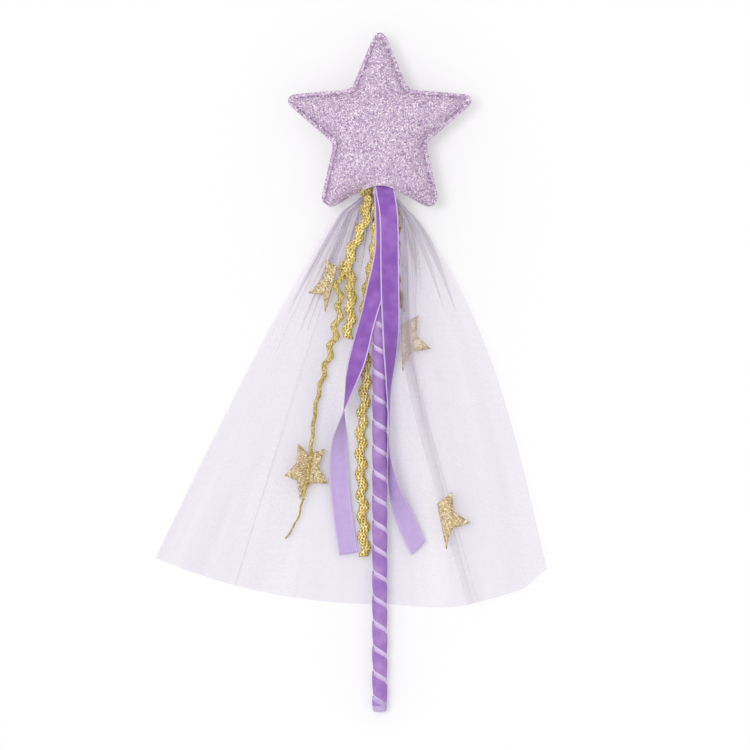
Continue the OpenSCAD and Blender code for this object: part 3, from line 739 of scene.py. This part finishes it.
def stuffed_star():
    """The dome blown up a little with its seam held, where it puckers."""
    mesh = domed_star()
    start = [v.co.copy() for v in mesh.vertices]
    cushion = add_object("Stuffed star", mesh)
    seam = cushion.vertex_groups.new(name="seam")
    seam.add([v.index for v in mesh.vertices if abs(v.co.z) < SAME_POINT], 1, "REPLACE")
    cloth = cushion.modifiers.new("Cloth", "CLOTH").settings
    for setting, value in CUSHION_CLOTH.items():
        setattr(cloth, setting, value)
    cloth.effector_weights.gravity = 0
    for number in range(1, SIM_FRAMES + 1):
        scene.frame_set(number)
    blown = bpy.data.meshes.new_from_object(cushion.evaluated_get(bpy.context.evaluated_depsgraph_get()))
    scene.frame_set(1)
    bpy.data.objects.remove(cushion)
    for v, before in zip(blown.vertices, start):
        move = v.co - before
        v.co = before + move * min(1, MOST_SWELL / max(move.length, 1e-9))
        v.co.z = min(max(v.co.z, -CROWN), CROWN)
    return blown


def star_side(name, blown, front, node):
    """One cloth of the cushion, opened at the mouth over or under the bundle of streamers."""
    bm = bmesh.new()
    bm.from_mesh(blown)
    away = [f for f in bm.faces if (f.calc_center_median().z > 0) != front]
    bmesh.ops.delete(bm, geom=away, context="FACES")
    inner = [v for v in bm.verts if not v.is_boundary]
    for _ in range(3):
        bmesh.ops.smooth_vert(bm, verts=inner, factor=0.5, use_axis_x=True, use_axis_y=True, use_axis_z=True)
    way, stand_off = (1, LIP_FRONT) if front else (-1, LIP_BACK)
    for v in bm.verts:
        inside = v.co.y + MOUTH_R * math.cos(min(abs(v.co.x) / 0.03, 1) * 0.9)
        near = 1 - smooth(-0.001, LIP_DEPTH, inside)
        lip = stand_off * math.exp(-((v.co.x - LIP_X) / LIP_HALF) ** 2) * near
        if v.co.y < 0:
            v.co.z = way * max(abs(v.co.z), min(abs(v.co.z) + lip * 0.35, MOST_LIP), lip)
        v.co = Vector((v.co.x + STICK_X, v.co.y + STAR_Y, max(v.co.z + SEAM_Z, LOWEST)))
    side = add_piece(name, bm, [star_glitter], "wand", "glitter_fabric", node)
    round_off(side)


def star_seam():
    """The raw edge outside the seam, and the stitches on both faces."""
    start, steps = MOUTH_TO - ROUND, ROUND - (MOUTH_TO - MOUTH_FROM)

    def spot(i, j):
        k = (start + j) % ROUND
        out = i / RAW_COLUMNS
        taper = smooth(0, RAW_TAPER, j) * smooth(0, RAW_TAPER, steps - j)
        p = seam_line[k].lerp(raw_edge[k], lerp(-0.15, 0.1 + 0.9 * taper, out))
        ripple = RAW_RIPPLE * noise.noise(Vector((p.x, p.y, 0)) * 260) * out
        return Vector((p.x + STICK_X, p.y + STAR_Y, SEAM_Z + ripple))

    edge = add_piece("star_raw_edge", cloth_grid(RAW_COLUMNS, steps, spot), [star_glitter], "wand", "glitter_fabric")
    thicken(edge, RAW_EDGE_T)
    stitches = bmesh.new()
    length, reach = 0.0, 0.0
    for j in range(steps):
        a, b = seam_line[(start + j) % ROUND], seam_line[(start + j + 1) % ROUND]
        length += (b - a).length
        if length < reach:
            continue
        reach += STITCH_PITCH
        turn = Matrix.Rotation(math.atan2((b - a).y, (b - a).x), 3, "Z")
        for side in (1, -1):
            made = bmesh.ops.create_icosphere(stitches, subdivisions=1, radius=1)["verts"]
            bmesh.ops.scale(stitches, verts=made, vec=STITCH_SIZE)
            bmesh.ops.rotate(stitches, verts=made, matrix=turn)
            at = (a.x * STITCH_OUT + STICK_X, a.y * STITCH_OUT + STAR_Y, SEAM_Z + side * STITCH_Z)
            bmesh.ops.translate(stitches, verts=made, vec=at)
    add_piece("star_stitches", stitches, [seam_thread], "wand", "thread")


def make_star():
    blown = stuffed_star()
    star_side("star_front_cloth", blown, True, "star_front_panel")
    star_side("star_back_cloth", blown, False, "star_back_panel")
    stuffing = bmesh.new()
    stuffing.from_mesh(blown)
    bmesh.ops.scale(stuffing, verts=stuffing.verts, vec=STUFFING_SIZE)
    for v in stuffing.verts:
        v.co *= 1 - 0.03 * noise.noise(v.co * 220)
    bmesh.ops.translate(stuffing, verts=stuffing.verts, vec=(STICK_X, STAR_Y + STUFFING_RISE, SEAM_Z))
    add_piece("star_stuffing", stuffing, [filling_fibre], "wand", "filling", "star_filling")
    star_seam()


make_star()


# Tulle skirt

SKIRT_R, LEFT_EXTRA, HEM_DROP = 0.2222, 0.0085, 0.005
LEFT_A, SPAN_A = math.radians(31), math.radians(54.5)
STICK_SHARE = 31 / 54.5
GATHER_LEFT, GATHER_RIGHT = -0.0217, 0.015
SKIRT_TOP_Y = MOUTH_Y - 0.0145
SKIRT_RISE, RIGHT_BOW, LEFT_BOW, FOLD_H, FOLDS = 0.006, 0.0134, 0.004, 0.0012, 7
TULLE_T, LEFT_GAP, RIGHT_GAP, PANEL_ROWS = 0.0007, 0.00055, 0.0049, 64
# Share of each panel's rows that the gathers at the neck take, and the angles that they take under the stick
GATHERED, BOUND_ANGLES = 0.09, (212, 328)
RUFFLE_H, RUFFLES = 0.0006, 13
# Rise of the cloth over a pleat and in its turns, and the shares of a column between the turns
PLEAT_RISE, TURN_RISE, TURN_STEP = 0.00036, 0.00012, 30
# The right panel's inner edge at the gathers and the hem, its bow, and two bodies and two points at the neck, which
# leave the panel where it is built
EDGE_TOP, EDGE_HEM, EDGE_BOW = 0.88, 0.78, 0.12
RIGHT_BENDS = ("right_braid", "right_tulle", (STICK_X, 0.0945, SEAM_Z), (STICK_X, 0.074, SEAM_Z))
# Larger pleats of the upper panels: place, width, where each starts to open, where it is open, share that stays folded
LEFT_PLEATS = [(0.19, 0.03, 0.3, 0.5, 0.1), (0.39, 0.02, 0.3, 0.45, 0), (0.56, 0.03, 0.5, 0.9, 0.5)]
RIGHT_PLEATS = [(0.02, 0.14, 0.3, 1, 0.6), (0.14, 0.04, 0.4, 0.9, 0.3)]


def skirt_spot(u, v, lift):
    """A point of the skirt: u from its left edge to its right one, v from the gathers to the hem."""
    top = Vector((STICK_X + lerp(GATHER_LEFT, GATHER_RIGHT, u), SKIRT_TOP_Y))
    angle = SPAN_A * u - LEFT_A
    reach = SKIRT_R + LEFT_EXTRA * max(0, 1 - u / STICK_SHARE) ** 2
    reach += HEM_DROP * smooth(0.57, 0.77, u) * (1 - smooth(0.92, 1, u))
    hem = Vector((STICK_X + reach * math.sin(angle), MOUTH_Y - reach * math.cos(angle)))
    p = top.lerp(hem, v)
    bow = (RIGHT_BOW * max(u, 0) ** 6 - LEFT_BOW * (1 - min(u, 1)) ** 6) * math.sin(math.pi * v ** 0.7)
    fold = FOLD_H * (1 - math.cos(math.tau * FOLDS * (u - STICK_SHARE))) / 2
    ripple = 0.00012 * math.sin(math.tau * 23 * u + 5 * v) * (1 - v) + 0.0001 * math.sin(61 * u + 9 * v)
    return Vector((p.x + bow, p.y, SKIRT_RISE * (1 - v) ** 3 + fold + ripple + lift))


def below_gathers(t):
    return (t - GATHERED) / (1 - GATHERED)


def gathered_spot(u, t, lift, bound_r):
    """A point of a panel from the binding at the neck, where it is gathered under the stick, to its hem."""
    if t >= GATHERED:
        return skirt_spot(u, below_gathers(t), lift)
    angle = math.radians(lerp(*BOUND_ANGLES, u))
    ruffle = bound_r + RUFFLE_H * math.sin(math.tau * RUFFLES * u)
    bound = Vector((STICK_X + ruffle * math.cos(angle), MOUTH_Y - 0.0025,
                    SEAM_Z - 0.0001 + ruffle * math.sin(angle)))
    return bound.lerp(skirt_spot(u, 0, lift), smooth(0, GATHERED, t) * 0.4 + t / GATHERED * 0.6)


def tulle_sheet(pleats, plain, edges, lift, bound_r):
    """One panel. edges(v) gives its two sides as shares of the skirt. At each pleat, two columns more run back
    under the next stretch."""
    step = 1 / plain
    columns = [(k * step, None, 0) for k in range(plain + 1)]
    for number, pleat in enumerate(pleats):
        columns += [(pleat[0] + turn * step / TURN_STEP, number, turn) for turn in (1, 2)]
    columns.sort()

    def folded(pleat, t):
        return 1 - smooth(pleat[2], pleat[3], t) * (1 - pleat[4])

    def spot(i, j):
        at, number, turn = columns[i]
        t = (j / PANEL_ROWS) ** 1.15
        left, right = edges(max(0, below_gathers(t)))
        rise = 0
        if number is None:
            for pleat in pleats:
                if at > pleat[0]:
                    rise += PLEAT_RISE * folded(pleat, t) * math.exp(-(at - pleat[0]) / (pleat[1] + 1e-3))
        else:
            place, width = pleats[number][:2]
            share = folded(pleats[number], t)
            at = lerp(place + turn * step / TURN_STEP, place + (width if turn == 1 else 0), share)
            rise = TURN_RISE * turn * share
        return gathered_spot(lerp(left, right, at), t, lift + rise, bound_r)

    bm = cloth_grid(len(columns) - 1, PANEL_ROWS, spot)
    bmesh.ops.reverse_faces(bm, faces=bm.faces)
    return bm


def small_gathers(seed, count, opened):
    """Small pleats at uneven places, which open out at different lengths."""
    draw = random.Random(seed)
    return [((k + draw.uniform(0.2, 0.8)) / count, draw.uniform(0.5, 1) / count, 0.03, draw.uniform(*opened), 0)
            for k in range(count)]


def right_inner_edge(v):
    bow = math.sin(math.pi * v ** 0.6)
    return lerp(EDGE_TOP, EDGE_HEM, v) - EDGE_BOW * bow - 0.05 * bow ** 4


def add_panel(side, net, body, bm, flat, rests_on, area, *gather):
    name = "tulle_" + side
    piece = add_piece(name, bm, [net], body, "tulle", name + "_panel", *gather)


def make_skirt():
    back = tulle_sheet(small_gathers(5, 13, (0.2, 0.42)), 72, lambda v: (0, 1), 0, 0.0056)
    add_panel("back", tulle_net, "wand", back, (0.24, 0.22), "neck_binding", 0.036, "tulle_gather")
    pleats = small_gathers(11, 5, (0.2, 0.4)) + LEFT_PLEATS
    left = tulle_sheet(pleats, 34, lambda v: (0, 0.36), TULLE_T + LEFT_GAP, 0.0052)
    add_panel("left", left_net, "left_tulle", left, (0.09, 0.22), "tulle_back", 0.0135)
    pleats = RIGHT_PLEATS + small_gathers(23, 3, (0.2, 0.4))
    right = tulle_sheet(pleats, 28, lambda v: (right_inner_edge(v), 1), TULLE_T + RIGHT_GAP, 0.0050)
    add_panel("right", right_net, RIGHT_BENDS, right, (0.07, 0.22), "tulle_back", 0.0105)


make_skirt()


# Handle and neck

WRAP_FROM, WRAP_TO, WRAP_PITCH, WRAP_W = 0.0075, 0.2752, 0.0133, 0.0144
WRAP_COLUMNS = [0, 0.03, 0.1, 0.3, 0.5, 0.7, 0.82, 0.86, 0.93, 0.98, 1]
# Rows to a turn, the angle where the first one starts, and the ribbon's length round the stick
TURN_STEPS, WRAP_START, TURN_LENGTH = 28, 2.28, 0.028
WRAP_T, WRAP_GAP, LAP_H, PILE_H, CREASE_H, WANDER = 0.00012, 0.00016, 0.0005, 0.00022, 0.00008, 0.0005
# The folded end from its outer edge over the stick's end: radius and place along the stick
FOLD_PROFILE = [
    (0.0036, 0.2728), (0.0039, 0.2735), (0.00402, 0.2755), (0.00398, 0.2775), (0.0037, 0.2789), (0.003, 0.2794),
    (0.0017, 0.27925), (0.0003, 0.2791),
]
FOLD_ROUNDS, FOLD_PLEATS, FOLD_PLEAT_H, FOLD_SLANT, FOLD_T = 48, 7, 0.00016, 0.0014, 0.0003
# Thread of the neck's binding: winds, rows and sides, its radius, its gap from the stick, its pitch and its start
WINDS, WIND_ROWS, THREAD_SIDES = 7, 168, 8
THREAD_R, THREAD_GAP, THREAD_PITCH, THREAD_FROM = 0.00038, 0.00085, 0.0006, 0.0023
# Short ends of the streamers, sewn into the star's mouth. The braids' have a width and the name of a body, which they
# do not follow.
RIBBON_ROOTS = [
    in_metres([(18.7, 93.2, 20.6, 0), (18.2, 96.5, 20.4, 0), (17.5, 101, 19.2, 0), (16.8, 106, 18, 0)]),
    in_metres([(17.5, 93.2, 19.3, 0), (17.3, 96.5, 19.1, 0), (16.8, 101, 18.2, 0), (16.4, 106, 17.3, 0)]),
]
BRAID_ROOTS = [
    (RICRAC_W, "centre_braid", in_metres([(14.9, 94.2, 18, 0), (14.9, 98, 17.6, 0), (15, 103, 16.8, 0)])),
    (RICRAC_W + 0.0014, "left_tulle",
     in_metres([(8.3, 93.2, 15.6, 35), (8.9, 96.2, 15.2, 16), (10.2, 101, 14.9, 6), (11.4, 106, 14.8, 0)])),
    (CORD_W, "left_tulle", in_metres([(7, 93.2, 13.2, 35), (8, 96.5, 13.1, 20), (9.5, 101, 12.9, 8)])),
    (CORD_W, "right_braid", in_metres([(20.9, 94.2, 13, -85), (20.6, 98, 13.6, -80), (20.4, 103, 14, -80)])),
]
ROOT_ROWS, ROOT_WAVE = 16, 0.0002


def on_stick(angle, radius, along):
    """A point round the stick: along runs from the star's mouth to the handle's end."""
    x, up = radius * math.cos(angle), radius * math.sin(angle)
    return Vector((STICK_X + x,
                   MOUTH_Y - along * math.cos(LIE_ANGLE) - up * math.sin(LIE_ANGLE),
                   SEAM_Z - along * math.sin(LIE_ANGLE) + up * math.cos(LIE_ANGLE)))


def wrap_handle():
    """The velvet ribbon wound down the stick: each turn laps the edge of the one before, and its pale edge shows."""
    turns = (WRAP_TO - WRAP_FROM) / WRAP_PITCH
    rows = int(turns * TURN_STEPS)

    def spot(i, j):
        across = WRAP_COLUMNS[i]
        turn = turns * j / rows
        wander = WANDER * noise.noise(Vector((turn * 0.9, 3.1, 0)))
        along = WRAP_FROM + WRAP_PITCH * turn + WRAP_W * across + wander * across
        along = min(along, WRAP_TO + 0.0018 * across)
        lap = LAP_H * smooth(0.9, 0.3, across) if across < 0.9 else 0
        pile = PILE_H * smooth(0, 0.06, across) * (1 - smooth(0.8, 0.87, across))
        crease = CREASE_H * noise.noise(Vector((along * 260, turn * 5, 1)))
        return on_stick(-math.tau * turn + WRAP_START, STICK_R + WRAP_GAP + lap + pile + crease, along)

    bm = cloth_grid(len(WRAP_COLUMNS) - 1, rows, spot, lambda j: j / TURN_STEPS * TURN_LENGTH,
                    lambda i: WRAP_COLUMNS[i])
    bmesh.ops.recalc_face_normals(bm, faces=bm.faces)
    thicken(add_piece("ribbon_wrap", bm, [wrap_velvet], "wand", "velvet", "handle_wrap"), WRAP_T, offset=-1)


def fold_wrap_end():
    """The ribbon's end turned over the stick's end and pressed flat in small pleats."""
    def spot(i, j):
        radius, along = FOLD_PROFILE[i]
        angle = math.tau * j / FOLD_ROUNDS
        pleat = FOLD_PLEAT_H * math.sin(angle * FOLD_PLEATS + along * 900) * smooth(0.2735, 0.2785, along)
        slant = FOLD_SLANT * math.cos(angle) * (1 - smooth(0.2728, 0.276, along))
        return on_stick(angle, max(radius - abs(pleat), 0.0001), along + slant)

    bm = cloth_grid(len(FOLD_PROFILE) - 1, FOLD_ROUNDS, spot)
    close_up(bm)
    end = add_piece("ribbon_end_fold", bm, [fold_cloth], "wand", "velvet_end", "wrap_end_tuck")
    thicken(end, FOLD_T, offset=-1)
    round_off(end)


def bind_neck():
    """Thread wound round the neck over the gathered tulle and the ends of the streamers."""
    def spot(i, j):
        turn = WINDS * j / WIND_ROWS
        around = math.tau * i / THREAD_SIDES
        along = THREAD_FROM + THREAD_PITCH * turn + THREAD_R * math.sin(around)
        return on_stick(-math.tau * turn, STICK_R + THREAD_GAP + THREAD_R * math.cos(around), along)

    bm = cloth_grid(THREAD_SIDES, WIND_ROWS, spot)
    close_up(bm, caps=True)
    add_piece("neck_thread", bm, [seam_thread], "wand", "thread", "neck_binding")


def sew_in_ends():
    """Each end is held in the mouth, and stays where it is built."""
    def bends(body, route):
        return "wand", body, route[2][:3], route[0][:3]

    for number, route in enumerate(RIBBON_ROOTS, 1):
        lay_ribbon("ribbon_sewn_end_%d" % number, route, bends("centre_braid", route), ROOT_ROWS, 0)
    for number, (width, body, route) in enumerate(BRAID_ROOTS, 1):
        lay_braid("braid_sewn_end_%d" % number, route, bends(body, route), ROOT_ROWS, lambda d: width,
                  lambda d: ROOT_WAVE, RICRAC_PITCH, ricrac_gold)


wrap_handle()
fold_wrap_end()
bind_neck()
sew_in_ends()
dowel = bpy.data.objects["stick"]
dowel.data.materials.clear()
dowel.data.materials.append(stick_wood)


# Star charms

CHARM_T = 0.0007
# Cuts across a star, where it can bend
CUTS_TO_SIDE = (0.0006, 0.0012, 0.0018, 0.003, 0.006, 0.009)
CHARM_CUTS = (
    (Vector((1, 0, 0)), (0, *CUTS_TO_SIDE, *(-x for x in CUTS_TO_SIDE))),
    (Vector((0, 1, 0)), (-0.012, -0.008, -0.004, 0, 0.004, 0.008, 0.012)),
)


def star_charm(name, place, turn, body, node, bend):
    """A five-pointed star cut from glitter sheet; bend(x, y) creases or folds it along its y axis."""
    bm = bmesh.new()
    bmesh.ops.create_circle(bm, cap_ends=True, segments=10, radius=CHARM_R)
    for v in bm.verts:
        corner = round((math.atan2(v.co.y, v.co.x) - math.pi / 2) / (ARM / 2)) % 2
        v.co *= CHARM_INNER_R / CHARM_R if corner else 1
    for way, cuts in CHARM_CUTS:
        for cut in cuts:
            whole = bm.verts[:] + bm.edges[:] + bm.faces[:]
            bmesh.ops.bisect_plane(bm, geom=whole, plane_co=way * cut, plane_no=way)
    spin = Matrix.Rotation(math.radians(turn), 3, "Z")
    for v in bm.verts:
        rough = 1 + 0.03 * noise.noise(Vector((v.co.x * 500, v.co.y * 500, len(name))))
        v.co = spin @ bend(v.co.x * rough, v.co.y * rough) + Vector(place)
    bmesh.ops.recalc_face_normals(bm, faces=bm.faces)
    charm = add_piece(name, bm, [charm_glitter, charm_reverse], body, "gold_glitter", node)
    thicken(charm, CHARM_T, back=1, rim=1)


def folded_over(side, apart, low, crumple=0, narrow=1, skew=0):
    """Bends a sheet in half: the half on the named side lies on top of the other one. A crumpled one is narrower."""
    radius = apart / 2
    arc = math.pi * radius / 2

    def bend(x, y):
        s = x * side
        if abs(s) < arc:
            across, up = -radius * math.cos(s / radius), radius * math.sin(s / radius)
        else:
            across, up = abs(s) - arc, radius if s > 0 else -radius
        far = min(math.hypot(x, y) / CHARM_R, 1)
        wave = crumple * noise.noise(Vector((x * 160, y * 160, 2))) * far
        return Vector((side * across * narrow, y + skew * across, low + radius + up + max(wave, -0.3 * crumple)))

    return bend


def creased(x, y):
    """The lower left star: narrower as it lies, with its right half tipped up from the crease."""
    share, tip = (0.86, 0.02) if x < 0 else (0.66, 0.2)
    curl = 0.0006 * noise.noise(Vector((x * 120, y * 120, 5))) * min(abs(x) / 0.008, 1)
    return Vector((x * share, y, 0.0008 + abs(x) * tip + curl))


def add_charms():
    # The right star is folded over the right panel's inner edge
    edge = skirt_spot(lerp(EDGE_TOP, EDGE_HEM, 0.8) - EDGE_BOW * math.sin(math.pi * 0.8 ** 0.6), 0.777, 0)
    for side, place, turn, body, bend in (
        ("upper_left", (STICK_X - 0.0251, MOUTH_Y - 0.0519, 0.0078), 165, "star_cord",
         folded_over(1, 0.001, 0.00045, 0.0016, 0.74, 0.25)),
        ("lower_left", (STICK_X - 0.0394, MOUTH_Y - 0.151, 0.0039), 169.5, "star_cord", creased),
        ("upper_right", (STICK_X + 0.0123, MOUTH_Y - 0.0825, 0.0045), -178, "right_braid",
         folded_over(-1, 0.001, 0.00045)),
        ("right", (edge.x - 0.0005, edge.y, 0.0023), -168.7, "right_tulle", folded_over(-1, 0.0014, 0.0036)),
    ):
        star_charm("charm_" + side, place, turn, body, "star_charm_" + side, bend)


add_charms()
